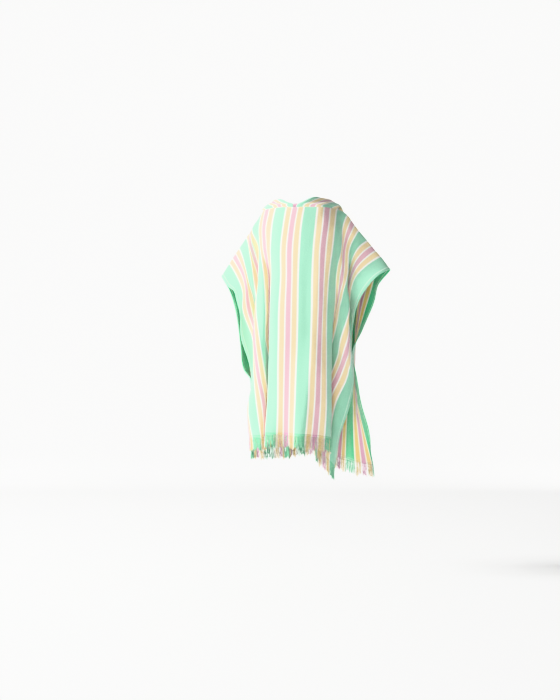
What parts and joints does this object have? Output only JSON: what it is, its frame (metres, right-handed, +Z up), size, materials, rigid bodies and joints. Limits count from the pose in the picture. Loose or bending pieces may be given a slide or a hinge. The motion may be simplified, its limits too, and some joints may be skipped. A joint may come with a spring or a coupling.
{
  "type": "hooded beach towel poncho",
  "caption": "Striped terry hooded towel poncho in its hollow worn shape: a folded length of cloth with a neck slit, the hood down at the back, sides tacked below the arms and fringed ends.",
  "frame": {"origin": "middle of the neck opening, at the height where the cloth lies on the shoulders of whoever wears it", "axes": "+Z up, the front of the cloth faces -Y, the wearer's left is +X"},
  "size_m": [0.538, 0.3236, 0.8616],
  "materials": {
    "striped_terry": "looped cotton pile, mint stripes with thin yellow and lilac stripes on white",
    "stitch_thread": "matte sewing thread",
    "fringe_yarn": "twisted cotton yarn in the colours of the stripes"
  },
  "bodies": {
    "root": {"body_cloth": "striped_terry", "hood_left": "striped_terry", "hood_right": "striped_terry", "side_tack_left": "stitch_thread", "side_tack_right": "stitch_thread", "front_fringe": "fringe_yarn", "back_fringe": "fringe_yarn"}
  },
  "joints": []
}
